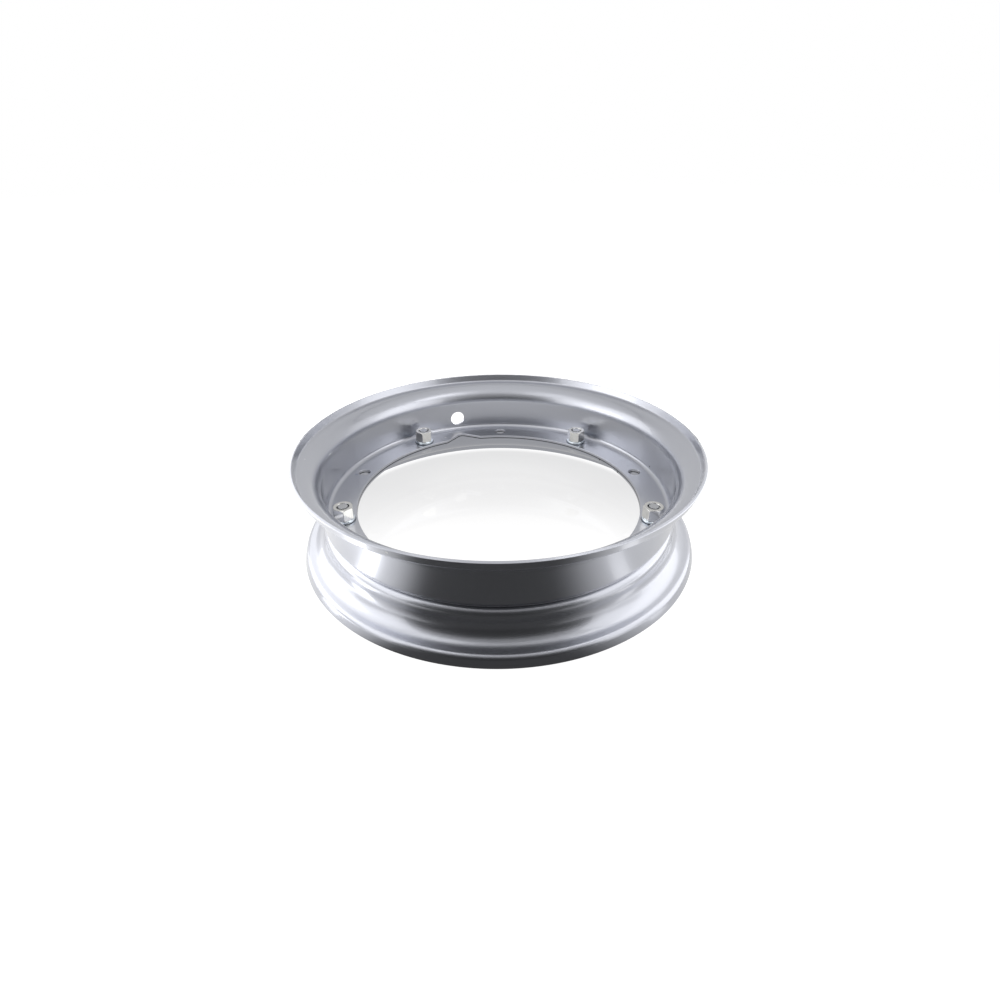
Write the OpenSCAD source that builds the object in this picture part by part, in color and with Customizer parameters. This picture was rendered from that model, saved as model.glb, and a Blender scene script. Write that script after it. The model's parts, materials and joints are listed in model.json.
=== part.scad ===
// Split rim of a motor scooter: two pressed steel halves bolted flange to flange.
// The wheel axis is Z, the lower half stands on its lip at z = 0, and the upper
// half carries the valve hole. Free hole number one lies on +Y.

/* [Rim] */
// Radius of the outer face of the wall, where the tyre bead sits
seat_r = 126.5; // [110:0.5:160]
// Thickness of the pressed steel
sheet = 2.2; // [1.8:0.1:2.6]
// Height of the lower half, from its lip to the joint
lower_h = 28.8; // [26:0.2:36]
// Height of the upper half, from the joint to its lip
upper_h = 45.6; // [42:0.2:52]

/* [Lip] */
// Reach of the lips beyond the outer face of the wall
lip_w = 16; // [13:0.5:20]
// Height of the curled tip above the crease of the lip
curl_h = 5.6; // [4:0.2:8]
// Lean of the curled tip, outward from the wheel axis, in degrees
tip_lean = 18; // [5:1:30]
// Rise of the side of the lip, from the wall to the crease, in degrees
side_rise = 13; // [5:1:20]
// Radius of the crease, on the hollow side
crease_r = 2; // [1:0.5:3]
// Radius between the seat and the lip, on the tyre's side, where both are long enough for it
seat_bend_r = 12.5; // [3:0.5:14]

/* [Flange] */
// Outer radius of the bend between the flange and the wall
bend_r = 6; // [4:0.5:8]
// Radius that breaks the cut edges of the sheet
edge_r = 0.5; // [0.2:0.1:0.8]
// Width of the valve notch at the mouth
notch_w = 30; // [24:1:34]
// Depth of the valve notch
notch_d = 9.6; // [7:0.2:10.5]
// Radius of the notch at its deepest point
notch_tip_r = 4.5; // [3:0.5:6]
// Radius of the two corners at the mouth of the notch
notch_mouth_r = 5; // [2:0.5:7]
// Flat flange left between the spring washers and the bend to the wall
bend_gap = 1; // [0.5:0.1:4]
// Flat flange left between the spring washers and the centre opening
opening_gap = 1.5; // [1:0.1:6]

/* [Holes] */
// Number of studs, and of free holes between them
studs = 5; // [5]
// Diameter of the free holes, which take the studs of the brake drum
free_hole_d = 9; // [8.5:0.1:10]
// Diameter of the valve hole in the wall
valve_hole_d = 12; // [8:0.5:13]
// Straight wall left between the valve hole and the bend to the flange
valve_gap = 0.2; // [0.1:0.1:6]

/* [Fasteners] */
// Diameter of the studs
stud_d = 8; // [8]
// Gap between a stud and the holes it passes through, on the radius
stud_gap = 0.1; // [0.05:0.05:0.3]
// Diameter of the head of a stud
stud_head_d = 12; // [11:0.5:14]
// Thickness of the head of a stud
stud_head_h = 4; // [2.5:0.5:5]
// Depth of a stud's end below the top of its nut
stud_end_drop = 0; // [0:0.2:2]
// Width of a nut across its flats
nut_w = 13; // [12:0.5:14]
// Height of a nut
nut_h = 8.8; // [6.5:0.1:10]
// Diameter of the countersink in each end of a nut
nut_sink_d = 9.6; // [9:0.1:10]
// Outer diameter of a spring washer
washer_d = 15; // [14:0.2:16]
// Thickness of a spring washer
washer_h = 2.1; // [1.6:0.1:2.5]
// Width of the split in a spring washer
split_w = 1.1; // [0.6:0.1:2]

/* [Hidden] */
$fn = 96;
round_fn = 240;                     // segments of a full turn of the rim
pitch = 360 / studs;                // angle from one stud to the next
stud_at = pitch / 2;                // angle from the first free hole to the first stud
valve_at = pitch / 4;               // angle from the first free hole to the valve
joint_z = lower_h;                  // where the two flanges meet
wall_r = seat_r - sheet;            // inner face of the wall
lip_r = seat_r + lip_w;             // the widest part of the rim
circle_r = seat_r - bend_r - bend_gap - washer_d / 2; // circle of the studs and the free holes
opening_r = circle_r - washer_d / 2 - opening_gap;    // centre opening
valve_h = bend_r + valve_gap + valve_hole_d / 2;      // centre of the valve hole, above the joint
washer_z = joint_z + sheet;         // top face of the upper flange
nut_z = washer_z + washer_h;
nut_top = nut_z + nut_h;
bore_r = stud_d / 2 + stud_gap;     // radius of every hole that a stud fills
under_z = joint_z - sheet;          // lower face of the lower flange
tip_round = edge_r * (sqrt(2) * sin(45 + tip_lean) - 1); // what rounding takes off a leaning tip
least_flat = 0.5;                   // straight sheet left on each side of the bend to the lip
washer_edge_r = 0.45;               // radius on the edges of a spring washer
split_slant = 25;                   // lean of the split, in degrees
nut_face_d = nut_w + 0.2;           // flat circle left by the chamfer of a nut
nut_chamfer = 30;                   // angle of that chamfer
head_chamfer = 0.6;                 // chamfer on the head of a stud
end_chamfer = 0.9;                  // chamfer on the threaded end of a stud
past = 1;                           // how far a cutter runs past what it cuts
// How far each nut is turned, in degrees, because each stopped where it was tight
nut_turn = [54, 55, 20, 43, 16];

// Centre of the arc that rounds the corner at p. The centre lies in the direction aim,
// and the edge turns by the angle turn.
function arc_centre(p, aim, turn, r) = p + r / cos(turn / 2) * [cos(aim), sin(aim)];

// The outward corner to take away where an edge is rounded
module sharp(p, aim, turn, r) {
    side = r * tan(turn / 2);
    middle = r / cos(turn / 2);
    translate(p) rotate(aim) difference() {
        polygon([[-past, 0], side * [sin(turn / 2), -cos(turn / 2)], [middle, 0],
            side * [sin(turn / 2), cos(turn / 2)]]);
        translate([middle, 0]) circle(r);
    }
}

// Three points that fill an inward corner as far as the centre of its arc, which then
// takes a full circle away. They run from the side at from to the side at to.
function filled(p, aim, turn, r, from, to) =
    [p + r * tan(turn / 2) * [cos(from), sin(from)], arc_centre(p, aim, turn, r),
        p + r * tan(turn / 2) * [cos(to), sin(to)]];

// The step across the sheet where it turns, for the directions across it before and after
function mitre(before, after) = sheet * (before + after) / (1 + before * after);

// Section of one half, as radius and height above the joint. The sheet runs from the
// centre opening to the wall, up the wall to the seat, along the side of the lip to the
// crease, and up to the tip. Its inner face is toward the hollow, its outer to the tyre.
module half_section(h) {
    out = [1, 0];
    under = [0, -1];
    side_out = [sin(side_rise), -cos(side_rise)];
    tip_out = [cos(tip_lean), -sin(tip_lean)];
    tip = [lip_r + tip_round - sheet * cos(tip_lean), h + tip_round];
    crease = tip - curl_h * [tan(tip_lean), 1];
    seat = [wall_r, crease[1] - (crease[0] - wall_r) * tan(side_rise)];
    foot = [wall_r, sheet];
    outer_foot = foot + mitre(under, out);
    outer_seat = seat + mitre(out, side_out);
    outer_crease = crease + mitre(side_out, tip_out);
    outer_tip = tip + sheet * tip_out;
    end_turn = 90;
    foot_r = bend_r - sheet;
    foot_turn = 90;
    foot_aim = 180 - foot_turn / 2;
    seat_turn = foot_turn - side_rise;
    seat_aim = -seat_turn / 2;
    crease_turn = foot_turn - side_rise - tip_lean;
    crease_aim = foot_aim + (side_rise - tip_lean) / 2;
    side_room = norm(crease - seat) - crease_r * tan(crease_turn / 2);
    wall_room = seat[1] - bend_r;
    widest_bend = (min(side_room, wall_room) - least_flat) / tan(seat_turn / 2) - sheet;
    bend = min(seat_bend_r, widest_bend);
    difference() {
        polygon([[opening_r, sheet], each filled(foot, foot_aim, foot_turn, foot_r, 180, 90), seat,
            each filled(crease, crease_aim, crease_turn, crease_r, 180 + side_rise, 90 - tip_lean),
            tip, outer_tip, outer_crease,
            each filled(outer_seat, seat_aim, seat_turn, bend, side_rise, -90),
            outer_foot, [opening_r, 0]]);
        translate(arc_centre(foot, foot_aim, foot_turn, foot_r)) circle(foot_r);
        translate(arc_centre(crease, crease_aim, crease_turn, crease_r)) circle(crease_r);
        translate(arc_centre(outer_seat, seat_aim, seat_turn, bend)) circle(bend);
        sharp(outer_foot, foot_aim, foot_turn, bend_r);
        sharp(seat, seat_aim, seat_turn, bend + sheet);
        sharp(outer_crease, crease_aim, crease_turn, crease_r + sheet);
        sharp([opening_r, sheet], -end_turn / 2, end_turn, edge_r);
        sharp([opening_r, 0], end_turn / 2, end_turn, edge_r);
        sharp(tip, -end_turn / 2 - tip_lean, end_turn, edge_r);
        sharp(outer_tip, -end_turn * 3 / 2 - tip_lean, end_turn, edge_r);
    }
}

// Outline of the valve notch, about the direction of +Y. Its sides touch the tip circle
// and the two mouth circles, which lie in the sheet and touch the edge of the opening.
module notch_outline() {
    tip_y = opening_r + notch_d - notch_tip_r;
    mouth = [notch_w / 2, sqrt(opening_r * opening_r - notch_w * notch_w / 4)];
    reach = norm(mouth - [0, tip_y]);
    slope = atan2(tip_y - mouth[1], mouth[0]) + asin(notch_tip_r / reach);
    along = [cos(slope), -sin(slope)];
    across = [sin(slope), cos(slope)];
    ring_r = opening_r + notch_mouth_r;
    start = mouth + notch_mouth_r * across;
    step = -start * along - sqrt(pow(start * along, 2) - start * start + ring_r * ring_r);
    centre = start + step * along;
    side_end = centre - notch_mouth_r * across;
    edge_end = centre * (opening_r / ring_r);
    side_start = [0, tip_y] + notch_tip_r * across;
    below = edge_end[1] - 2 * past;
    translate([0, tip_y]) circle(notch_tip_r);
    difference() {
        polygon([side_start, side_end, edge_end, [edge_end[0], below], [-edge_end[0], below],
            [-edge_end[0], edge_end[1]], [-side_end[0], side_end[1]], [-side_start[0], side_start[1]]]);
        for (side = [-1, 1]) translate([side * centre[0], centre[1]]) circle(notch_mouth_r);
    }
}

// One half, with its joint face on z = 0 and its lip above.
module half_rim(h) {
    difference() {
        rotate_extrude($fn = round_fn) half_section(h);
        for (i = [0 : studs - 1]) {
            rotate(i * pitch) translate([0, circle_r, -past])
                cylinder(h = sheet + 2 * past, d = free_hole_d);
            rotate(stud_at + i * pitch) translate([0, circle_r, -past])
                cylinder(h = sheet + 2 * past, r = bore_r);
        }
        rotate(valve_at) translate([0, 0, -past])
            linear_extrude(height = sheet + 2 * past) notch_outline();
    }
}

module upper_half_rim() {
    color("silver") translate([0, 0, joint_z]) difference() {
        half_rim(upper_h);
        rotate(valve_at) translate([0, wall_r - 2 * past, valve_h]) rotate([-90, 0, 0])
            cylinder(h = sheet + 4 * past, d = valve_hole_d);
    }
}

module lower_half_rim() {
    color("silver") translate([0, 0, joint_z]) mirror([0, 0, 1]) half_rim(lower_h);
}

// Puts what is drawn at the centre of the flange circle where stud i stands.
module at_stud(i) {
    rotate(stud_at + (i - 1) * pitch) translate([0, circle_r, 0]) children();
}

// A stud: its head bears on the lower flange, its end stops inside the nut.
module stud(i) {
    end_z = nut_top - stud_end_drop;
    color("lightgray") at_stud(i) {
        translate([0, 0, under_z - stud_head_h])
            cylinder(h = head_chamfer, d1 = stud_head_d - 2 * head_chamfer, d2 = stud_head_d);
        translate([0, 0, under_z - stud_head_h + head_chamfer])
            cylinder(h = stud_head_h - head_chamfer, d = stud_head_d);
        translate([0, 0, under_z]) cylinder(h = end_z - end_chamfer - under_z, d = stud_d);
        translate([0, 0, end_z - end_chamfer])
            cylinder(h = end_chamfer, d1 = stud_d, d2 = stud_d - 2 * end_chamfer);
    }
}

// A spring washer, pressed flat, with its slanted split on the far side from the wheel axis.
module spring_washer(i) {
    band = washer_d / 2 - bore_r;
    color("gainsboro") at_stud(i) translate([0, 0, washer_z]) difference() {
        rotate_extrude() translate([bore_r, 0]) {
            translate([washer_edge_r, 0]) square([band - 2 * washer_edge_r, washer_h]);
            translate([0, washer_edge_r]) square([band, washer_h - 2 * washer_edge_r]);
            for (x = [washer_edge_r, band - washer_edge_r])
                for (y = [washer_edge_r, washer_h - washer_edge_r]) translate([x, y]) circle(washer_edge_r);
        }
        translate([0, washer_d / 2, washer_h / 2]) rotate([0, split_slant, 0])
            cube([split_w, washer_d, 3 * washer_h], center = true);
    }
}

// A hexagon nut, chamfered at both ends and countersunk at both ends of its bore.
module nut(i) {
    corner_d = nut_w / cos(30);
    drop = (corner_d - nut_face_d) / 2 * tan(nut_chamfer);
    sink_h = (nut_sink_d / 2 - bore_r) / 2;
    color("gainsboro") at_stud(i) translate([0, 0, nut_z]) rotate(nut_turn[i - 1]) difference() {
        intersection() {
            cylinder(h = nut_h, d = corner_d, $fn = 6);
            union() {
                cylinder(h = drop, d1 = nut_face_d, d2 = corner_d);
                translate([0, 0, drop]) cylinder(h = nut_h - 2 * drop, d = corner_d);
                translate([0, 0, nut_h - drop]) cylinder(h = drop, d1 = corner_d, d2 = nut_face_d);
            }
        }
        translate([0, 0, -past]) cylinder(h = nut_h + 2 * past, r = bore_r);
        translate([0, 0, nut_h - sink_h]) cylinder(h = sink_h, r1 = bore_r, d2 = nut_sink_d);
        cylinder(h = sink_h, d1 = nut_sink_d, r2 = bore_r);
    }
}

upper_half_rim();
lower_half_rim();
stud(1);  // stud_1
stud(2);  // stud_2
stud(3);  // stud_3
stud(4);  // stud_4
stud(5);  // stud_5
spring_washer(1);  // spring_washer_1
spring_washer(2);  // spring_washer_2
spring_washer(3);  // spring_washer_3
spring_washer(4);  // spring_washer_4
spring_washer(5);  // spring_washer_5
nut(1);  // nut_1
nut(2);  // nut_2
nut(3);  // nut_3
nut(4);  // nut_4
nut(5);  // nut_5
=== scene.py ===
"""Looks of a split motor scooter rim: silver paint, zinc plated fasteners, studio light."""

import json
import math

import bpy
import numpy as np
from mathutils import Matrix, Vector
from mathutils.geometry import delaunay_2d_cdt


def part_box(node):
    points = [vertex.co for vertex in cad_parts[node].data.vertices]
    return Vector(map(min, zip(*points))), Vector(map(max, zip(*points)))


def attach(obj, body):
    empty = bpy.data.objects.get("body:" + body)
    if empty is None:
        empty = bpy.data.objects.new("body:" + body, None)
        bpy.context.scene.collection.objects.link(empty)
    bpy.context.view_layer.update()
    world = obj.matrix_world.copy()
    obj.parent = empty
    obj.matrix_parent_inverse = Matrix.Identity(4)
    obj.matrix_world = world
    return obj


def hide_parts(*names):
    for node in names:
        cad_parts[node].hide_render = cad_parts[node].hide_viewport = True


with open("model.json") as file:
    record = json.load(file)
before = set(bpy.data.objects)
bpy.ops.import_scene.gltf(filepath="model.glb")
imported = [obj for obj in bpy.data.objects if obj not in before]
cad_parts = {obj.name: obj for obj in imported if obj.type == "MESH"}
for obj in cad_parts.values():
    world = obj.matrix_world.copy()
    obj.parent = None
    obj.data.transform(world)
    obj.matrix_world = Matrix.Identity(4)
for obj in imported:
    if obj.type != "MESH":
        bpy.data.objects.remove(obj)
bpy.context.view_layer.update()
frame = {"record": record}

MM = 0.001
mounts = {m["name"]: m for m in frame["record"]["mounts"]}

# Sizes of the rim, in millimetres, from the frame
top_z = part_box("upper_half_rim")[1][2] / MM
joint_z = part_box("upper_half_rim")[0][2] / MM
lip_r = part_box("upper_half_rim")[1][0] / MM
opening_r = mounts["centre_opening"]["dims"]["r_mm"]
circle_r = mounts["mounting_holes"]["dims"]["pcd_mm"] / 2
free_hole_r = mounts["mounting_holes"]["dims"]["hole_r_mm"]
valve_r = mounts["valve_hole"]["dims"]["r_mm"]
valve_z = mounts["valve_hole"]["pos_m"][2] / MM
upper_h = top_z - joint_z
lower_h = joint_z

# Sizes of the pressed sheet
lip_w = 16.0
seat_r = lip_r - lip_w
sheet = 2.2
wall_r = seat_r - sheet
bend_r = 6.0
seat_bend_r = 12.5
crease_r = 2.0
curl_h = 5.6
tip_lean = 18.0
side_rise = 13.0
edge_r = 0.5
stud_hole_r = 4.1
notch_w = 30.0
notch_d = 9.6
notch_tip_r = 4.5
notch_mouth_r = 5.0
window_margin = 1.5
valve_edge_r = 0.18

# Sizes of the fasteners
washer_z = joint_z + sheet
washer_h = 2.1
washer_r = 7.5
washer_edge_r = 0.8
split_w = 1.1
split_slant = 25.0
nut_z = washer_z + washer_h
nut_h = 8.8
nut_w = 13.0
bore_r = 4.1
sink_r = 4.5
sink_h = 0.5
plain_h = 1.0
nut_thread_depth = 0.35
stud_r = 4.0
stud_end_z = nut_z + nut_h
under_z = joint_z - sheet
head_r = 6.0
head_h = 4.0
thread_pitch = 1.25
thread_depth = 0.68
point_h = 2.0

studs = 5
pitch = 360 / studs
stud_at = pitch / 2
valve_at = pitch / 4
nut_turn = [54, 55, 20, 43, 16]


def turned(angle):
    """Unit vector in the XY plane, `angle` degrees anticlockwise from +Y."""
    a = np.radians(angle)
    return np.stack([-np.sin(a), np.cos(a)], axis=-1)


def polar(angle):
    """Unit vector at `angle` degrees from the first axis."""
    a = np.radians(angle)
    return np.stack([np.cos(a), np.sin(a)], axis=-1)


class Skin:
    """Gathers surface patches with their normals and makes one closed mesh of them."""

    def __init__(self):
        self.points, self.normals, self.quads, self.tris = [], [], [], []
        self.count = 0

    def add(self, points, normals):
        """Takes an array of points with their outward normals; gives their numbers."""
        points = np.asarray(points, float)
        shape = points.shape[:-1]
        normals = np.broadcast_to(normals, points.shape).astype(float)
        self.points.append(points.reshape(-1, 3))
        self.normals.append(normals.reshape(-1, 3))
        numbers = self.count + np.arange(int(np.prod(shape))).reshape(shape)
        self.count += numbers.size
        return numbers

    def grid(self, points, normals, around=False):
        """A patch of quads over a grid of points; `around` joins its last row to its first."""
        numbers = self.add(points, normals)
        if around:
            numbers = np.concatenate([numbers, numbers[:1]])
        self.quads.append(np.stack([numbers[:-1, :-1], numbers[1:, :-1], numbers[1:, 1:],
                                    numbers[:-1, 1:]], axis=-1).reshape(-1, 4))

    def fill(self, points, normals, tris):
        """A patch of triangles over listed points."""
        self.tris.append(self.add(points, normals)[np.asarray(tris)])

    def mesh(self, name):
        """Welds points that coincide, turns every face outward and keeps the exact normals."""
        points = np.concatenate(self.points)
        normals = np.concatenate(self.normals)
        _, first, same = np.unique(np.round(points, 4), axis=0, return_index=True, return_inverse=True)
        same = same.reshape(-1)
        welded = points[first]
        summed = np.zeros_like(welded)
        np.add.at(summed, same, normals)
        summed /= np.maximum(np.linalg.norm(summed, axis=1, keepdims=True), 1e-9)
        faces = []
        for block in (np.concatenate(self.quads) if self.quads else np.zeros((0, 4), int),
                      np.concatenate(self.tris) if self.tris else np.zeros((0, 3), int)):
            if not len(block):
                continue
            block = same[block]
            corner = welded[block]
            across = np.cross(corner[:, 2] - corner[:, 0], corner[:, -1] - corner[:, 1])
            if block.shape[1] == 3:
                across = np.cross(corner[:, 1] - corner[:, 0], corner[:, 2] - corner[:, 0])
            wanted = summed[block].sum(axis=1)
            inward = (across * wanted).sum(axis=1) < 0
            block[inward] = block[inward, ::-1]
            faces += [[v for k, v in enumerate(f) if v != f[k - 1]] for f in block.tolist()]
        faces = [f for f in faces if len(f) > 2 and len(set(f)) == len(f)]
        mesh = bpy.data.meshes.new(name)
        mesh.from_pydata((welded * MM).tolist(), [], faces)
        mesh.shade_smooth()
        mesh.normals_split_custom_set_from_vertices(summed.tolist())
        mesh.validate()
        return mesh


def piece(name, mesh, material, slot, *nodes):
    """Makes a mesh the piece that stands for CAD nodes."""
    obj = bpy.data.objects.new(name, mesh)
    bpy.context.scene.collection.objects.link(obj)
    mesh.materials.append(material)
    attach(obj, "root")
    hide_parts(*nodes)
    return obj


# Section of the pressed sheet

def arc(centre, radius, start, end, hollow=False, step=6.0):
    """Points of an arc with their outward normals, which face the centre if it is hollow."""
    n = max(2, int(math.ceil(abs(end - start) / step)))
    way = polar(np.linspace(start, end, n + 1))
    return centre + radius * way, -way if hollow else way


def arc_centre(corner, aim, turn, radius):
    """Centre of the arc that rounds a corner: radius / cos(turn / 2) away in the direction aim."""
    return np.array(corner) + radius / math.cos(math.radians(turn / 2)) * polar(aim)


def sheet_section(h):
    """Outline of one half from the flange's top face round the lip to its joint face, as
    radius and height above the joint: straight lines that join arcs of the same normals."""
    lean, rise = math.radians(tip_lean), math.radians(side_rise)
    tip_round = edge_r * (math.sqrt(2) * math.sin(math.radians(45 + tip_lean)) - 1)
    tip = np.array([lip_r + tip_round - sheet * math.cos(lean), h + tip_round])
    crease = tip - curl_h * np.array([math.tan(lean), 1.0])
    seat = np.array([wall_r, crease[1] - (crease[0] - wall_r) * math.tan(rise)])
    seat_turn = 90 - side_rise
    crease_turn = 90 - side_rise - tip_lean
    foot_c = np.array([seat_r - bend_r, bend_r])
    seat_c = arc_centre(seat, -seat_turn / 2, seat_turn, seat_bend_r + sheet)
    crease_c = arc_centre(crease, 135 + (side_rise - tip_lean) / 2, crease_turn, crease_r)
    inner_tip_c = arc_centre(tip, -45 - tip_lean, 90, edge_r)
    outer_tip_c = arc_centre(tip + sheet * polar(-tip_lean), -135 - tip_lean, 90, edge_r)
    return [
        arc(foot_c, bend_r - sheet, 270, 360, hollow=True),
        arc(seat_c, seat_bend_r + sheet, 180, 90 + side_rise),
        arc(crease_c, crease_r, 270 + side_rise, 360 - tip_lean, hollow=True),
        arc(inner_tip_c, edge_r, 180 - tip_lean, 90 - tip_lean, step=18),
        arc(outer_tip_c, edge_r, 90 - tip_lean, -tip_lean, step=18),
        arc(crease_c, crease_r + sheet, -tip_lean, side_rise - 90),
        arc(seat_c, seat_bend_r, 90 + side_rise, 180, hollow=True),
        arc(foot_c, bend_r, 0, -90)]


# Outlines in the plane of the flange, as points and the normals that face the free space

def circle_outline(centre, radius, n):
    """A round hole's outline; its normals face its centre."""
    way = polar(np.arange(n) * 360 / n)
    return centre + radius * way, -way


def opening_outline(n):
    """The centre opening's outline with the valve notch: a circle, two mouth arcs, two straight
    sides and the tip arc, each touching the next. Built about +Y, then turned to the valve."""
    tip_y = opening_r + notch_d - notch_tip_r
    mouth = np.array([notch_w / 2, math.sqrt(opening_r ** 2 - notch_w ** 2 / 4)])
    reach = np.linalg.norm(mouth - [0, tip_y])
    slope = math.atan2(tip_y - mouth[1], mouth[0]) + math.asin(notch_tip_r / reach)
    along = np.array([math.cos(slope), -math.sin(slope)])
    across = np.array([math.sin(slope), math.cos(slope)])
    ring_r = opening_r + notch_mouth_r
    start = mouth + notch_mouth_r * across
    step = -start @ along - math.sqrt((start @ along) ** 2 - start @ start + ring_r ** 2)
    centre = start + step * along
    slope_deg = math.degrees(slope)
    mouth_deg = math.degrees(math.atan2(centre[1], centre[0]))
    # right side, from the tip down to the opening
    tip_way = polar(np.linspace(90, 90 - slope_deg, 9))
    points = [np.array([0, tip_y]) + notch_tip_r * tip_way]
    normals = [-tip_way]
    mouth_way = polar(np.linspace(270 - slope_deg, 180 + mouth_deg, 9))
    points.append(centre + notch_mouth_r * mouth_way)
    normals.append(mouth_way)
    right_p, right_n = np.concatenate(points), np.concatenate(normals)
    rest = polar(np.linspace(mouth_deg, mouth_deg - 2 * (mouth_deg - 90) - 360, n + 1))[1:-1]
    flip = np.array([-1, 1])
    outline = np.concatenate([right_p, opening_r * rest, (right_p * flip)[:0:-1]])
    normal = np.concatenate([right_n, -rest, (right_n * flip)[:0:-1]])
    a = math.radians(valve_at)
    turn = np.array([[math.cos(a), math.sin(a)], [-math.sin(a), math.cos(a)]])
    return outline @ turn, normal @ turn


def inside(points, outline):
    """Which points lie inside a closed outline, by counting the sides to their right."""
    x, y = points[:, :1], points[:, 1:]
    a, b = outline, np.roll(outline, -1, axis=0)
    spans = (a[:, 1] > y) != (b[:, 1] > y)
    rise = np.where(b[:, 1] == a[:, 1], 1.0, b[:, 1] - a[:, 1])
    hit = x < a[:, 0] + (y - a[:, 1]) * (b[:, 0] - a[:, 0]) / rise
    return (spans & hit).sum(axis=1) % 2 == 1


def filled_face(rim, holes):
    """Triangles over the area inside the outline `rim` and outside each of `holes`."""
    rings = [rim, *holes]
    points = np.concatenate(rings)
    edges, start = [], 0
    for ring in rings:
        n = len(ring)
        edges += [(start + k, start + (k + 1) % n) for k in range(n)]
        start += n
    made, _, tris, _, _, _ = delaunay_2d_cdt([Vector(p) for p in points], edges, [], 0, 1e-7)
    made, tris = np.array(made), np.array(tris)
    middle = made[tris].mean(axis=1)
    keep = inside(middle, rim)
    for hole in holes:
        keep &= ~inside(middle, hole)
    return made, tris[keep]


def edge_profile(radius, length):
    """Cut edge of a sheet, as setback from the cut and depth below the face: a quarter arc, the
    straight cut and a quarter arc. The normals are given the same way."""
    way = polar(np.linspace(90, 0, 5))
    setback = radius * (1 - way[:, 0])
    depth = radius * (1 - way[:, 1])
    profile = np.concatenate([np.stack([setback, depth], -1),
                              np.stack([setback[::-1], length - depth[::-1]], -1)])
    normal = np.concatenate([way, (way * [1, -1])[::-1]])
    return profile, normal


def half_rim(name, up, h, valve):
    """One half: the section carried round the axis, and the flange inside it, with its cut
    edges rounded. `up` is 1 where the lip is above the joint, and -1 below it; h is its height."""
    skin = Skin()
    steps = 480
    az = np.arange(steps) * 360 / steps
    way = turned(az)

    def placed(plane, height):
        z = np.broadcast_to(joint_z + up * height, plane.shape[:-1])
        return np.concatenate([plane, z[..., None]], -1)

    def revolved(points, normals, columns=slice(None), around=True):
        ring = way[columns][:, None, :]
        skin.grid(placed(ring * points[None, :, :1], points[None, :, 1]),
                  np.concatenate([ring * normals[None, :, :1], np.broadcast_to(
                      up * normals[None, :, 1:], ring.shape[:1] + (len(points), 1))], -1), around)

    section = sheet_section(h)
    for points, normals in section:
        revolved(points, normals)
    # straight stretches between the arcs; the two walls leave a window round the valve hole
    window_h = 2 * (valve_z - joint_z) - bend_r
    at = round(valve_at * steps / 360)
    half = math.ceil(math.degrees((valve_r + window_margin) / wall_r) * steps / 360)
    for k, ((a, an), (b, bn)) in enumerate(zip(section[:-1], section[1:])):
        line = np.stack([a[-1], b[0]])
        normal = np.stack([an[-1], bn[0]])
        if valve and k in (0, 6):
            low, high = (0, 1) if k == 0 else (1, 0)
            level = line[low] + (line[high] - line[low]) * (window_h - line[low][1]) / (
                line[high][1] - line[low][1])
            revolved(np.stack([level, line[high]]), normal)
            beside = np.arange(at + half, at - half + steps + 1) % steps
            revolved(np.stack([line[low], level]), normal, beside, around=False)
        else:
            revolved(line, normal)
    # flange faces and the edges of its openings
    holes = [circle_outline(circle_r * turned(i * pitch), free_hole_r, 40) for i in range(studs)]
    holes += [circle_outline(circle_r * turned(stud_at + i * pitch), stud_hole_r, 32)
              for i in range(studs)]
    cuts = [opening_outline(360), *holes]
    profile, profile_n = edge_profile(edge_r, sheet)
    set_back = [outline - edge_r * normal for outline, normal in cuts]
    rim = (seat_r - bend_r) * way
    for height, side in ((sheet, 1.0), (0.0, -1.0)):
        flat, tris = filled_face(rim, set_back)
        skin.fill(placed(flat, height), [0, 0, up * side], tris)
    for outline, normal in cuts:
        plane = outline[:, None] - profile[None, :, :1] * normal[:, None]
        lean = np.concatenate([normal[:, None] * profile_n[None, :, :1], np.broadcast_to(
            up * profile_n[None, :, 1:], (len(outline), len(profile), 1))], -1)
        skin.grid(placed(plane, sheet - profile[None, :, 1]), lean, around=True)
    if valve:
        valve_window(skin, az, at, half, window_h)
    return skin.mesh(name)


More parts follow.
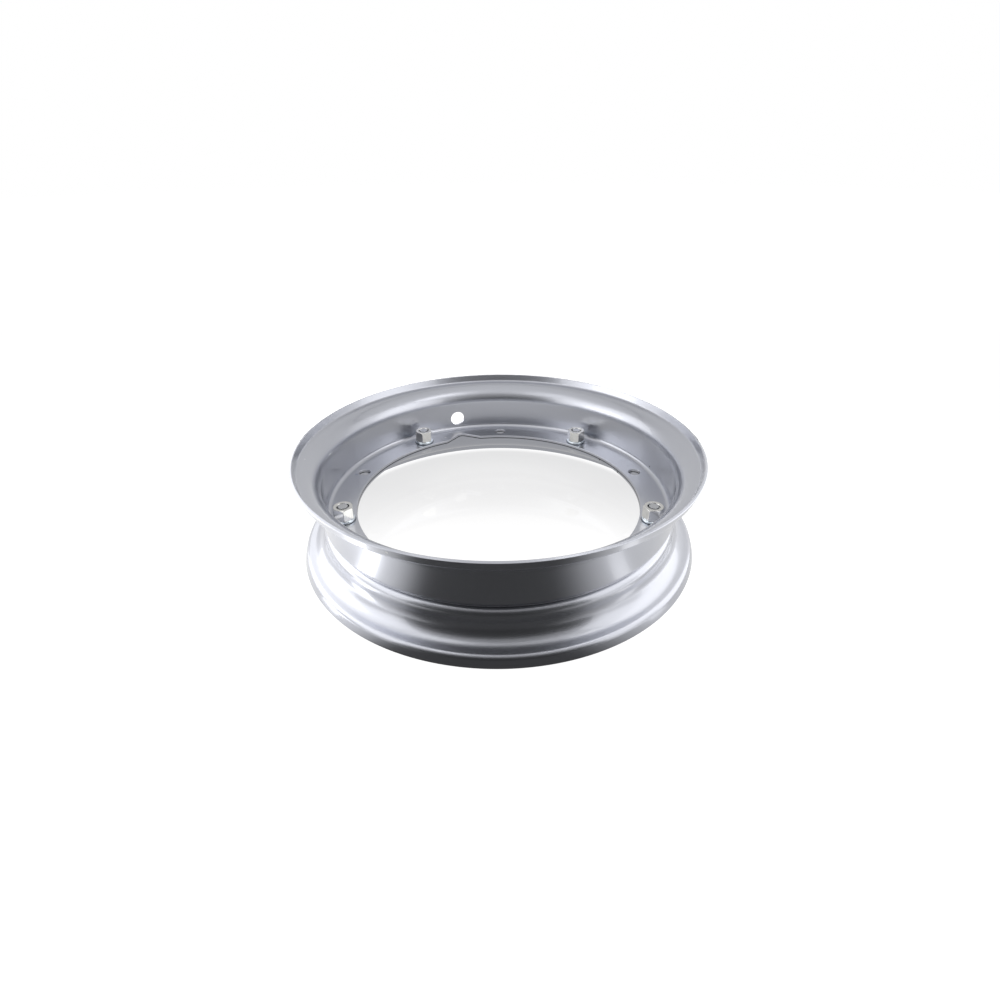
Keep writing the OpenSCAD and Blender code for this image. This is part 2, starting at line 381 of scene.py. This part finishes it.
def valve_window(skin, az, at, half, window_h):
    """The wall round the valve hole: on each face a patch between the window's edge and the
    hole, bent to the wall's cylinder, and the hole's own rounded cut through the sheet."""
    base = turned(valve_at)
    tangent = turned(valve_at + 90)
    hole_h = valve_z - joint_z
    angles = np.arange(at - half, at + half + 1)
    offset = np.radians(az[1] * (angles - at))
    n = 64
    way = polar(np.arange(n) * 360 / n)

    def on_wall(across, height, radius):
        """A point `across` from the hole's axis and `height` above the joint, on a cylinder."""
        return np.concatenate([(np.sqrt(radius ** 2 - across ** 2)[..., None] * base
                                + across[..., None] * tangent),
                               (joint_z + height)[..., None]], -1)

    for radius, side in ((wall_r, -1.0), (seat_r, 1.0)):
        across = radius * np.sin(offset)
        edge = np.concatenate([np.stack([across, np.full_like(across, bend_r)], -1),
                               np.stack([across, np.full_like(across, window_h)], -1)[::-1]])
        ring = (valve_r + valve_edge_r) * way + [0, hole_h]
        flat, tris = filled_face(edge, [ring])
        points = on_wall(flat[:, 0], flat[:, 1], radius)
        normals = np.concatenate([points[:, :2] / radius * side, np.zeros((len(points), 1))], -1)
        skin.fill(points, normals, tris)
    profile, profile_n = edge_profile(valve_edge_r, sheet)
    reach = (valve_r + profile[None, :, 0]) * np.ones((n, 1))
    across, height = reach * way[:, :1], reach * way[:, 1:] + hole_h
    inner, outer = on_wall(across, height, wall_r), on_wall(across, height, seat_r)
    share = (profile[:, 1] / sheet)[None, :, None]
    out3 = np.append(base, 0.0)
    radial = way[:, :1, None] * np.append(tangent, 0.0) + way[:, 1:, None] * np.array([0, 0, 1.0])
    normals = -radial * profile_n[None, :, :1] - out3 * profile_n[None, :, 1:]
    skin.grid(inner + (outer - inner) * share, normals, around=True)


# Fasteners, each worked out about its own axis and then put on the flange circle

def on_circle(i, x, y, z, turn=0.0):
    """Points of fastener i, from its own axes to the rim's."""
    a = math.radians(stud_at + i * pitch + turn)
    centre = circle_r * turned(stud_at + i * pitch)
    return np.stack([centre[0] + x * math.cos(a) - y * math.sin(a),
                     centre[1] + x * math.sin(a) + y * math.cos(a), z], -1)


def smooth_normals(points, around=True):
    """Normals of a grid of points, from the cross product of its central differences."""
    if around:
        du = np.roll(points, -1, axis=0) - np.roll(points, 1, axis=0)
    else:
        du = np.gradient(points, axis=0)
    dv = np.gradient(points, axis=1)
    normal = np.cross(du, dv)
    return normal / np.maximum(np.linalg.norm(normal, axis=-1, keepdims=True), 1e-12)


def turned_body(i, name, angle, radius, z, turn=0.0):
    """Mesh of a body of `radius` over angle and profile, at height z along the profile; it is
    closed where the profile starts and ends on the axis, or where its end meets its start."""
    x = radius * np.cos(angle)[:, None]
    y = radius * np.sin(angle)[:, None]
    points = on_circle(i, x, y, np.broadcast_to(z, radius.shape), turn)
    skin = Skin()
    skin.grid(points, smooth_normals(points), around=True)
    return skin.mesh(name)


def triangle_wave(turns):
    """1 at whole turns and 0 half way between."""
    return 2 * np.abs(turns - np.floor(turns) - 0.5)


def stud_mesh(i):
    """A stud: radius = outer radius - depth x triangle wave of (z / pitch - angle / turn) along
    the thread, which fades in at the flange and into the chamfer at the end; below, a head."""
    around = 96
    rows_per_turn = 12
    angle = np.arange(around) * 2 * math.pi / around
    neck_z = washer_z - 0.5
    point_z = stud_end_z - point_h
    rows = np.arange(0, stud_end_z - neck_z + 1e-6, thread_pitch / rows_per_turn)
    z_thread = neck_z + rows
    groove = triangle_wave(rows[None] / thread_pitch - angle[:, None] / (2 * math.pi))
    # flat crests and roots
    groove = np.clip(groove * 1.25 - 0.12, 0, 1)
    fade = np.clip(rows / thread_pitch, 0, 1)[None]
    thread = stud_r - thread_depth * groove * fade
    root_share = np.clip((z_thread - point_z) / 0.3, 0, 1)
    thread = thread + (stud_r - thread_depth - thread) * root_share[None]
    head_z = under_z - head_h
    low = np.array([
        (0.0, head_z), (head_r - 1.2, head_z), (head_r - 0.55, head_z + 0.12),
        (head_r - 0.15, head_z + 0.45), (head_r, head_z + 0.95), (head_r, under_z - 0.35),
        (head_r - 0.1, under_z - 0.1), (head_r - 0.35, under_z), (stud_r + 0.05, under_z),
        (stud_r, under_z + 0.05), (stud_r, neck_z - 0.05)])
    end_r = thread[:, -1:]
    flat_end = [end_r * 0.96, end_r * 0.6, end_r * 0.0]
    radius = np.concatenate([np.ones((around, 1)) * low[None, :, 0], thread, *flat_end], axis=1)
    z = np.concatenate([low[:, 1], z_thread, [stud_end_z] * len(flat_end)])
    return turned_body(i, f"stud_{i + 1}", angle, radius, np.minimum(z, stud_end_z))


def nut_mesh(i):
    """A hexagon nut: its side is where a rounded hexagon, half width / (sum of |cos|^60)^(1/60),
    and the two chamfer cones meet; the top and bottom faces, countersinks and bore close it."""
    around = 288
    rows_per_turn = 8
    angle = np.arange(around) * 2 * math.pi / around
    sharp = 60.0
    hexagon = sum(np.abs(np.cos(angle - math.pi / 6 - k * math.pi / 3)) ** sharp for k in range(3))
    hexagon = nut_w / 2 / hexagon ** (1 / sharp)
    face_r = nut_w / 2 - 0.1
    chamfer = math.radians(30)
    rise = math.tan(chamfer)
    drop = (nut_w / 2 / math.cos(chamfer) - face_r) * rise
    ends = drop * (1 - np.cos(np.linspace(0, math.pi / 2, 9)))
    z = np.concatenate([ends, np.linspace(drop, nut_h - drop, 6)[1:-1], nut_h - ends[::-1]])
    cone = face_r + np.minimum(z, nut_h - z) / rise
    # a smooth minimum of the hexagon and the cones
    blend = 0.05
    side = -np.log(np.exp(-hexagon[:, None] / blend) + np.exp(-cone[None] / blend)) * blend
    # from the bore's lower end out over the bottom face, up the side and back in over the top
    round_r = 0.06
    bore = np.array([[bore_r, bore_r, sink_r - round_r, sink_r + round_r]]) * np.ones((around, 1))
    bore_level = np.array([sink_h + plain_h, sink_h, round_r, 0.0])
    face = np.array([[0.88, 0.97, 0.99]])
    face_level = np.array([0.0, 0.0, 0.01])
    radius = [bore, side[:, :1] * face, side, side[:, -1:] * face[:, ::-1], bore[:, ::-1]]
    level = [bore_level, face_level, z, nut_h - face_level[::-1], nut_h - bore_level[::-1]]
    # down the thread of the bore, back to the start
    rows = np.arange(nut_h - sink_h - plain_h, sink_h + plain_h, -thread_pitch / rows_per_turn)[1:]
    wave = triangle_wave(rows[None] / thread_pitch - angle[:, None] / (2 * math.pi))
    radius = np.concatenate([*radius, bore_r + nut_thread_depth * (1 - wave), bore[:, :1]], axis=1)
    level = np.concatenate([*level, rows, bore_level[:1]])
    return turned_body(i, f"nut_{i + 1}", angle, radius, nut_z + level, nut_turn[i])


def washer_mesh(i):
    """A spring washer: a rounded square section carried round from one side of the split to the
    other. The ends lean with the split, and pull in over a tenth of a millimetre."""
    edge = washer_edge_r
    inner = stud_hole_r
    around = 120
    corners = [(inner + edge, edge, 180), (washer_r - edge, edge, 270),
               (washer_r - edge, washer_h - edge, 0), (inner + edge, washer_h - edge, 90)]
    loop = np.concatenate([np.array([x, y]) + edge * polar(np.linspace(a, a + 90, 6))
                           for x, y, a in corners])
    middle = loop.mean(axis=0)
    # size of the section and its distance from the split, over the rounded ends
    end_size = np.array([0.0, 0.5, 0.93, 0.98])
    end_inset = np.array([0.0, 0.0, 0.01, 0.06])
    shrink = np.concatenate([end_size, np.ones(around), end_size[::-1]])
    inset = np.concatenate([end_inset, np.full(around, 0.16), end_inset[::-1]])
    along = np.concatenate([np.zeros(4), np.linspace(0, 1, around), np.ones(4)])
    section = middle + shrink[:, None, None] * (loop - middle)
    radius, z = section[..., 0], section[..., 1]
    lean = (z - washer_h / 2) * math.tan(math.radians(split_slant))
    start = (split_w / 2 + inset[:, None] - lean) / radius
    end = 2 * math.pi - (split_w / 2 + inset[:, None] + lean) / radius
    angle = start + (end - start) * along[:, None] + math.pi / 2
    points = on_circle(i, radius * np.cos(angle), radius * np.sin(angle), washer_z + z)
    points = np.concatenate([points, points[:, :1]], axis=1)
    wrapped = np.concatenate([points[:, -2:-1], points, points[:, 1:2]], axis=1)
    skin = Skin()
    skin.grid(points, smooth_normals(wrapped, around=False)[:, 1:-1])
    return skin.mesh(f"spring_washer_{i + 1}")


# Materials

class Wire:
    """A shader socket that adds Math nodes when it is used in an expression."""

    def __init__(self, tree, socket):
        self.tree, self.socket = tree, socket

    def math(self, operation, *others):
        values = dict(enumerate([self, *others]))
        return self.tree.node("ShaderNodeMath", {"operation": operation}, values)[0]

    def __add__(self, other):
        return self.math("ADD", other)

    def __sub__(self, other):
        return self.math("SUBTRACT", other)

    def __mul__(self, other):
        return self.math("MULTIPLY", other)

    def __gt__(self, other):
        return self.math("GREATER_THAN", other)

    def __rsub__(self, other):
        return self * -1.0 + other

    __radd__ = __add__
    __rmul__ = __mul__

    def ramp(self, low, high):
        """0 below low, 1 above high, smooth between; low may be the greater."""
        return self.tree.node("ShaderNodeMapRange", {"interpolation_type": "SMOOTHSTEP"},
                              {"Value": self, "From Min": low, "From Max": high})["Result"]


class Tree:
    """The nodes of one material or of the world."""

    def __init__(self, owner):
        owner.use_nodes = True
        self.nodes, self.links = owner.node_tree.nodes, owner.node_tree.links
        self.nodes.clear()

    def node(self, kind, settings=None, sockets=None):
        """Adds a node, sets its settings, then gives its sockets their values or links."""
        made = self.nodes.new(kind)
        for key, value in (settings or {}).items():
            setattr(made, key, value)
        for key, value in (sockets or {}).items():
            if isinstance(value, Wire):
                self.links.new(value.socket, made.inputs[key])
            else:
                made.inputs[key].default_value = value
        return Outputs(self, made)


class Outputs:
    """A node's outputs, by name or number, as wires."""

    def __init__(self, tree, made):
        self.tree, self.made = tree, made

    def __getitem__(self, key):
        return Wire(self.tree, self.made.outputs[key])


def noise(tree, place, scale, detail=2.0, roughness=0.5):
    """Fractal noise of the given size, in waves per metre."""
    return tree.node("ShaderNodeTexNoise", {}, {"Vector": place, "Scale": scale, "Detail": detail,
                                                "Roughness": roughness})["Fac"]


def mix_colour(tree, share, a, b):
    """Colour a where the share is 0 and b where it is 1."""
    a, b = [c if isinstance(c, Wire) else (*c, 1.0) for c in (a, b)]
    return tree.node("ShaderNodeMix", {"data_type": "RGBA"}, {0: share, 6: a, 7: b})[2]


def distance(tree, place, centre):
    """Distance from a point, in metres."""
    return tree.node("ShaderNodeVectorMath", {"operation": "DISTANCE"}, {0: place, 1: centre})["Value"]


def height_of(tree, place):
    """Height above the floor, in metres."""
    return tree.node("ShaderNodeSeparateXYZ", {}, {0: place})["Z"]


def scaled(colour, share):
    """A colour times a number."""
    return tuple(share * c for c in colour)


BLACK = (0.0, 0.0, 0.0)
WHITE = (1.0, 1.0, 1.0)
PAINT = (0.50, 0.513, 0.562)
PAINT_ROUGH = 0.27
COAT_ROUGH = 0.03
NIB = (0.85, 0.85, 0.85)
SEAM_SHADE = (0.02, 0.02, 0.022)
CHIP_AND_SHADOW = (0.035, 0.033, 0.032)
PALE = (0.82, 0.82, 0.80)
STAIN = (0.22, 0.27, 0.42)
# place in metres, radius, share and colour of each mark
PAINT_MARKS = [
    ((0.08288, 0.06118, 0.02841), 0.0009, 0.9, CHIP_AND_SHADOW),
    ((0.09466, 0.04060, 0.02727), 0.0012, 0.8, CHIP_AND_SHADOW),
    ((-0.02192, 0.10366, 0.02876), 0.0008, 0.8, CHIP_AND_SHADOW),
    ((-0.05710, -0.13002, 0.07195), 0.0011, 0.9, PALE),
    ((0.11867, 0.03694, 0.03461), 0.0008, 0.9, CHIP_AND_SHADOW),
    ((-0.11236, 0.03086, 0.03100), 0.0016, 0.35, STAIN),
    ((-0.04817, 0.09900, 0.03100), 0.0013, 0.6, PALE),
    ((-0.14108, 0.00209, 0.07435), 0.0007, 0.8, CHIP_AND_SHADOW),
    # painted reflection: a pale patch of light on the flange in front of a nut
    ((-0.10219, -0.04200, 0.03100), 0.0018, 0.5, PALE)]


def silver_paint():
    """Silver metallic paint under clear lacquer: fine flakes, slight orange peel, dust nibs in
    the lacquer, painted shadow round the washers and in the joint, and the marks of PAINT_MARKS,
    one a painted reflection. Painted shadow and marks are dull: rougher and without lacquer."""
    material = bpy.data.materials.new("silver_paint")
    tree = Tree(material)
    place = tree.node("ShaderNodeTexCoord")["Object"]
    flake = noise(tree, place, 9000.0, 1.0)
    cloud = noise(tree, place, 14.0, 3.0)
    peel = noise(tree, place, 900.0, 1.0)
    cell = tree.node("ShaderNodeTexVoronoi", {"feature": "F1"}, {"Vector": place, "Scale": 75.0})
    pick = tree.node("ShaderNodeSeparateColor", {}, {"Color": cell["Color"]})["Red"]
    nib = cell["Distance"].ramp(0.06, 0.02) * (pick > 0.86)
    base = mix_colour(tree, 0.92 + cloud * 0.10 + flake * 0.06, BLACK, PAINT)
    base = mix_colour(tree, nib * 0.5, base, NIB)
    # painted contact shadow: a dark ring on the flange just outside each washer, duller there too
    feet = [tuple(float(c) * MM for c in on_circle(i, 0.0, 0.0, washer_z)) for i in range(studs)]
    inner, outer = (washer_r + 0.2) * MM, (washer_r + 0.8) * MM
    dull = sum(distance(tree, place, foot).ramp(outer, inner) * 0.6 for foot in feet)
    base = mix_colour(tree, dull, base, CHIP_AND_SHADOW)
    for centre, radius, share, colour in PAINT_MARKS:
        ragged = distance(tree, place, centre) + (cloud + peel - 1.0) * radius * 0.6
        mark = ragged.ramp(radius, radius * 0.6) * share
        base = mix_colour(tree, mark, base, colour)
        dull = dull + mark
    # painted shade in the joint between the halves: a dark band at the joint's height, duller and
    # without lacquer
    seam = (height_of(tree, place) - joint_z * MM).math("ABSOLUTE").ramp(0.55 * MM, 0.2 * MM)
    base = mix_colour(tree, seam * 0.9, base, SEAM_SHADE)
    dull = (dull + seam).math("MINIMUM", 1.0)
    rough = PAINT_ROUGH + flake * 0.05 + cloud * 0.03 + dull * 0.25
    bump = tree.node("ShaderNodeBump", {}, {
        "Strength": 0.25, "Distance": 0.04 * MM, "Height": peel * 0.35 + nib})
    shader = tree.node("ShaderNodeBsdfPrincipled", {}, {
        "Base Color": base, "Metallic": 1.0, "Roughness": rough, "Coat Weight": 1.0 - dull,
        "Coat Roughness": COAT_ROUGH, "Coat IOR": 1.5, "Normal": bump["Normal"]})
    tree.node("ShaderNodeOutputMaterial", {}, {"Surface": shader["BSDF"]})
    return material


def zinc_plate(name, colour, smooth, dull, streaks):
    """Zinc plate on steel: a tint that drifts, drawing marks that run up and down, a darker
    top at the height of the studs' ends, and a roughness between smooth and dull."""
    material = bpy.data.materials.new(name)
    tree = Tree(material)
    place = tree.node("ShaderNodeTexCoord")["Object"]
    drawn = tree.node("ShaderNodeMapping", {}, {"Vector": place, "Scale": (1.0, 1.0, 0.12)})
    drift = noise(tree, place, 160.0, 2.0)
    streak = noise(tree, drawn["Vector"], 2400.0, 2.0)
    top = height_of(tree, place).ramp((stud_end_z - 0.4) * MM, (stud_end_z - 0.1) * MM)
    base = mix_colour(tree, drift.ramp(0.35, 0.7), colour, scaled(colour, 0.88))
    base = mix_colour(tree, streak.ramp(0.55, 0.8) * 0.25, base, scaled(colour, 0.6))
    base = mix_colour(tree, top, base, scaled(colour, 0.68))
    rough = smooth + (dull - smooth) * (drift * 0.5 + streak * 0.5)
    bump = tree.node("ShaderNodeBump", {}, {
        "Strength": streaks, "Distance": 0.02 * MM, "Height": streak})
    shader = tree.node("ShaderNodeBsdfPrincipled", {}, {
        "Base Color": base, "Metallic": 1.0, "Roughness": rough, "Normal": bump["Normal"]})
    tree.node("ShaderNodeOutputMaterial", {}, {"Surface": shader["BSDF"]})
    return material


# Pieces

paint = silver_paint()
nut_zinc = zinc_plate("nut_zinc", (0.90, 0.895, 0.875), 0.10, 0.20, 0.2)
washer_zinc = zinc_plate("washer_zinc", (0.80, 0.86, 0.92), 0.08, 0.16, 0.08)
stud_zinc = zinc_plate("stud_zinc", (0.70, 0.71, 0.74), 0.16, 0.28, 0.08)

piece("upper_half", half_rim("upper_half", 1, upper_h, True), paint, "silver_paint",
      "upper_half_rim")
piece("lower_half", half_rim("lower_half", -1, lower_h, False), paint, "silver_paint",
      "lower_half_rim")
for i in range(studs):
    piece(f"threaded_stud_{i + 1}", stud_mesh(i), stud_zinc, "zinc_plate", f"stud_{i + 1}")
    piece(f"split_washer_{i + 1}", washer_mesh(i), washer_zinc, "zinc_plate", f"spring_washer_{i + 1}")
    piece(f"hexagon_nut_{i + 1}", nut_mesh(i), nut_zinc, "zinc_plate", f"nut_{i + 1}")


# Studio: a small tent of soft panels round the rim, open in front

AMBIENT = 0.04
tent_half, tent_h = 0.30, 0.40
# panel: wall, from and to along it, from and to across it in metres, and brightness; the side
# walls run along y, the back, front and roof along x; across is up, or along y on the roof
PANELS = {
    "left_wall": ("left", -0.30, 0.30, 0.0, 0.40, 0.85),
    "left_upper_wall": ("left", -0.30, 0.30, 0.09, 0.40, 0.82),
    "left_low_lamp": ("left", -0.10, 0.10, 0.0, 0.22, 1.05),
    "right_wall": ("right", -0.30, 0.30, 0.0, 0.40, 1.0),
    "right_lamp": ("right", -0.10, 0.10, 0.0, 0.40, 0.80),
    "right_front_upper_wall": ("right", -0.30, -0.10, 0.09, 0.40, 0.48),
    "back_wall": ("back", -0.30, 0.30, 0.0, 0.40, 0.73),
    "back_low_lamp": ("back", -0.30, 0.30, 0.0, 0.09, 2.1),
    "front_header": ("front", -0.30, 0.30, 0.22, 0.40, 0.34),
    "roof": ("roof", -0.30, 0.30, -0.30, 0.30, 0.77),
    "roof_left_lamp": ("roof", -0.30, -0.10, -0.30, 0.0, 0.60),
    "roof_right_lamp": ("roof", 0.10, 0.30, -0.145, 0.0, 1.5)}

# Brightness of the floor as the rim mirrors it, a glow of painted light and shade: round the rim,
#  in the dark front, and inside the rim on the near and the far side
FLOOR_ROUND, FLOOR_FRONT = 0.58, 0.07
FLOOR_NEAR, FLOOR_FAR = 1.15, 0.57
# The same inside the rim as the camera sees it, greyer than the white round it: a painted shade of the
# rim on the floor
SEEN_NEAR, SEEN_FAR = 0.90, 0.72
# Radii between which a patch of the floor fades in and out, in metres
far_band = (0.19, 0.21, 0.30, 0.34)
near_band = (0.148, 0.152, 0.195, 0.205)
# brighter patches that the rim mirrors, painted light that stands for lamplight on the floor and
#  lamps mirrored in it: band of radii, azimuth clockwise from +Y, half width and soft edge in
#  degrees, and brightness
FLOOR_PATCHES = {
    "right_side": (None, 112, 40, 20, 0.22),
    "left_side": (None, 250, 45, 20, 0.45),
    "left_patch": (far_band, 249, 16, 6, 1.6),
    "right_patch": (far_band, 104, 18, 10, 0.25),
    "left_glint": (near_band, 232.5, 4.5, 0.8, 2.4),
    "right_glint": (near_band, 131, 4, 2, 0.6)}


def sector(azimuth, centre, half, soft):
    """1 within half degrees of the centre, 0 outside, with a soft edge."""
    off = (azimuth - centre).math("WRAP", 180.0, -180.0).math("ABSOLUTE")
    return off.ramp(half + soft / 2, half - soft / 2)


def white_floor():
    """A white glossy floor. The camera sees it white, with a faint shadow, and greyer inside the
    rim, a painted shade of the rim; the rim mirrors not the lit floor but a glow of painted light
    and shade, bright at the sides and dark in front. Seen from below it is clear, so that the
    underside of the rim shows."""
    material = bpy.data.materials.new("white_floor")
    tree = Tree(material)
    place = tree.node("ShaderNodeTexCoord")["Object"]
    split = tree.node("ShaderNodeSeparateXYZ", {}, {0: place})
    x, y = split["X"], split["Y"]
    radius = (x * x + y * y).math("SQRT")
    azimuth = x.math("ARCTAN2", y) * math.degrees(1.0)
    within = radius.ramp(0.142, 0.132)
    # painted shade of the rim: the floor grey inside it, greyer towards the far side
    seen = SEEN_NEAR - y.ramp(-0.05, 0.07) * (SEEN_NEAR - SEEN_FAR)
    seen = 1.0 + (seen - 1.0) * within
    # painted light and shade that the rim mirrors: bright patches, the dark front and the inside of
    # the rim
    mirrored = FLOOR_ROUND
    for band, centre, half, soft, level in FLOOR_PATCHES.values():
        patch = sector(azimuth, centre, half, soft) * level
        if band:
            patch = patch * radius.ramp(band[0], band[1]) * radius.ramp(band[3], band[2])
        mirrored = mirrored + patch
    whole_turn = azimuth.math("WRAP", 360.0, 0.0)
    front = whole_turn.ramp(131, 161) * whole_turn.ramp(225, 205)
    mirrored = mirrored * (1.0 - front) + front * FLOOR_FRONT
    under = FLOOR_NEAR - y.ramp(-0.045, -0.02) * (FLOOR_NEAR - FLOOR_FAR)
    mirrored = mirrored + (under - mirrored) * within
    # a Mix node's share ends at 1, so the brightness is given as a share of the greatest
    greatest = 4.0
    glow = mix_colour(tree, mirrored * (1 / greatest), BLACK, scaled(WHITE, greatest))
    lit = tree.node("ShaderNodeBsdfPrincipled", {}, {
        "Base Color": (0.16, 0.157, 0.157, 1.0), "Roughness": 0.04,
        "Emission Color": mix_colour(tree, seen, BLACK, WHITE), "Emission Strength": 1.0})
    plain = tree.node("ShaderNodeEmission", {}, {"Color": glow, "Strength": 1.0})
    clear = tree.node("ShaderNodeBsdfTransparent")
    by_camera = tree.node("ShaderNodeLightPath")["Is Camera Ray"]
    below = tree.node("ShaderNodeNewGeometry")["Backfacing"]
    above = tree.node("ShaderNodeMixShader", {}, {
        0: by_camera, 1: plain["Emission"], 2: lit["BSDF"]})
    surface = tree.node("ShaderNodeMixShader", {}, {0: below, 1: above["Shader"], 2: clear["BSDF"]})
    tree.node("ShaderNodeOutputMaterial", {}, {"Surface": surface["Shader"]})
    return material


def floor_mesh(radius):
    """A round floor just under the rim."""
    sides = 96
    gap = 0.05 * MM
    ring = turned(np.arange(sides) * 360 / sides) * radius
    mesh = bpy.data.meshes.new("floor")
    mesh.from_pydata(np.column_stack([ring, np.full(sides, -gap)]).tolist(), [], [list(range(sides))])
    mesh.materials.append(white_floor())
    return mesh


floor = bpy.data.objects.new("floor", floor_mesh(4.0))
bpy.context.scene.collection.objects.link(floor)


# Camera

def rolled(a, b, angle):
    """Two axes turned in their plane, a towards b."""
    return (a * math.cos(angle) + b * math.sin(angle), b * math.cos(angle) - a * math.sin(angle))


def photo_camera():
    """The camera that sees the rim as the photograph does. It stands at a distance from the
    point of the axis on the floor, which it sees aim_px off its optical axis; centre_px is that
    axis off the middle of the picture."""
    picture_px = 1000
    focal_px = 616.27
    aim_px = (-2.458, 53.640)
    centre_px = (0.953, -24.489)
    reach = 0.47381
    azimuth = math.radians(0.95)
    elevation = math.radians(33.6706)
    roll = math.radians(-0.5340)
    right = Vector((math.cos(azimuth), math.sin(azimuth), 0))
    back = Vector((math.sin(azimuth), -math.cos(azimuth), 0)) * math.cos(elevation)
    place = (back + Vector((0, 0, math.sin(elevation)))) * reach
    ahead = -place.normalized()
    down = ahead.cross(right)
    yaw = math.atan2(aim_px[0], focal_px)
    tilt = math.atan2(aim_px[1] * math.cos(yaw), focal_px)
    right, ahead = rolled(right, ahead, yaw)
    down, ahead = rolled(down, ahead, tilt)
    right, down = rolled(right, down, -roll)
    camera = bpy.data.cameras.new("camera")
    camera.sensor_width = 36.0
    camera.lens = focal_px / picture_px * camera.sensor_width
    camera.shift_x = -centre_px[0] / picture_px
    camera.shift_y = centre_px[1] / picture_px
    camera.clip_start = 0.01
    obj = bpy.data.objects.new("camera", camera)
    turn = Matrix((right, -down, -ahead)).transposed()
    obj.matrix_world = Matrix.Translation(place) @ turn.to_4x4()
    bpy.context.scene.collection.objects.link(obj)
    bpy.context.scene.camera = obj


photo_camera()


# Light

def soft_panel(name, behind, wall, start, end, low, high, level):
    """A rectangular lamp of even brightness in one wall of the tent, facing in, set `behind`
    the wall so that no two lamps lie in one plane."""
    light = bpy.data.lights.new(name, "AREA")
    light.shape = "RECTANGLE"
    light.size, light.size_y = end - start, high - low
    light.energy = math.pi * light.size * light.size_y * level
    along, across = (start + end) / 2, (low + high) / 2
    place, facing = {
        "left": ((-tent_half - behind, along, across), (1, 0, 0)),
        "right": ((tent_half + behind, along, across), (-1, 0, 0)),
        "back": ((along, tent_half + behind, across), (0, -1, 0)),
        "front": ((along, -tent_half - behind, across), (0, 1, 0)),
        "roof": ((along, across, tent_h + behind), (0, 0, -1))}[wall]
    obj = bpy.data.objects.new(name, light)
    obj.location = place
    obj.rotation_mode = "QUATERNION"
    obj.rotation_quaternion = (-Vector(facing)).to_track_quat("Z", "Y")
    obj.visible_camera = False
    bpy.context.scene.collection.objects.link(obj)


def studio_world():
    """Faint light from outside the tent; the camera sees plain white behind the rim."""
    world = bpy.data.worlds.new("studio")
    bpy.context.scene.world = world
    tree = Tree(world)
    seen = tree.node("ShaderNodeLightPath")["Is Camera Ray"]
    background = tree.node("ShaderNodeBackground", {}, {
        "Color": (1, 1, 1, 1), "Strength": AMBIENT + seen * (1.0 - AMBIENT)})
    tree.node("ShaderNodeOutputWorld", {}, {"Surface": background["Background"]})


panel_step = 2 * MM
for order, (panel_name, panel) in enumerate(PANELS.items()):
    soft_panel(panel_name, order * panel_step, *panel)
studio_world()
bpy.context.scene.view_settings.view_transform = "Standard"
